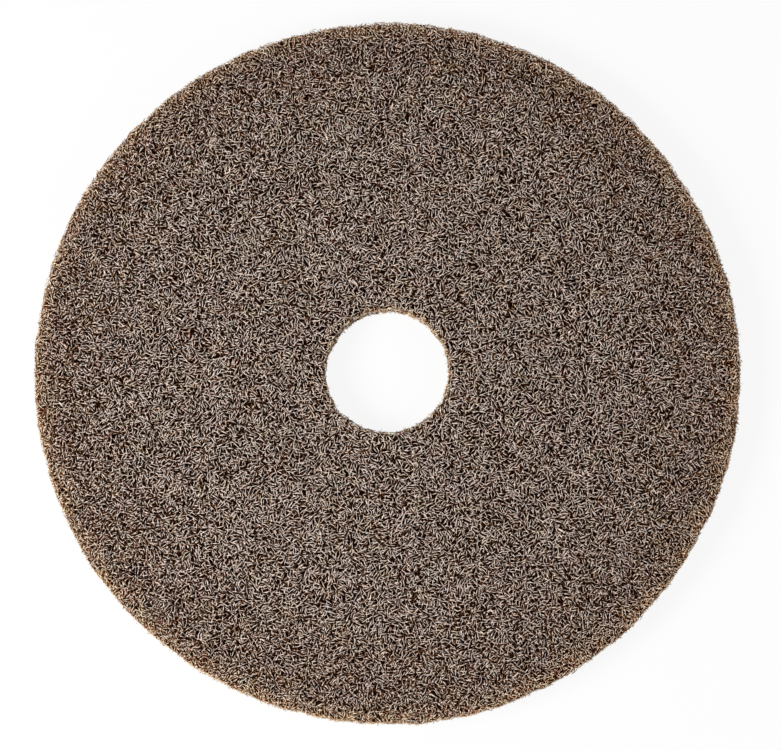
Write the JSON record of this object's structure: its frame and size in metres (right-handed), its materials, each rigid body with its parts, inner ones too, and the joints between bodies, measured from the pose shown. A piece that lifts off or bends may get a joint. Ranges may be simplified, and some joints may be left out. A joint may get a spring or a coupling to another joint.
{
  "type": "round nonwoven floor pad",
  "caption": "Round, thick disc of bonded crimped fibre web with soft die-cut edges and a punched centre hole, for scrubbing or stripping floors under a rotary machine.",
  "frame": {"origin": "centre of the lower face, on the pad's axis", "axes": "+Z along the pad's axis, from the lower face up to the upper face; X and Y lie in the lower face and have no preferred direction"},
  "size_m": [0.4826, 0.4826, 0.0254],
  "materials": {
    "fibre_web": "open web of brown crimped fibres bonded with resin and grit, dull"
  },
  "bodies": {
    "root": {"pad_disc": "fibre_web"}
  },
  "joints": []
}
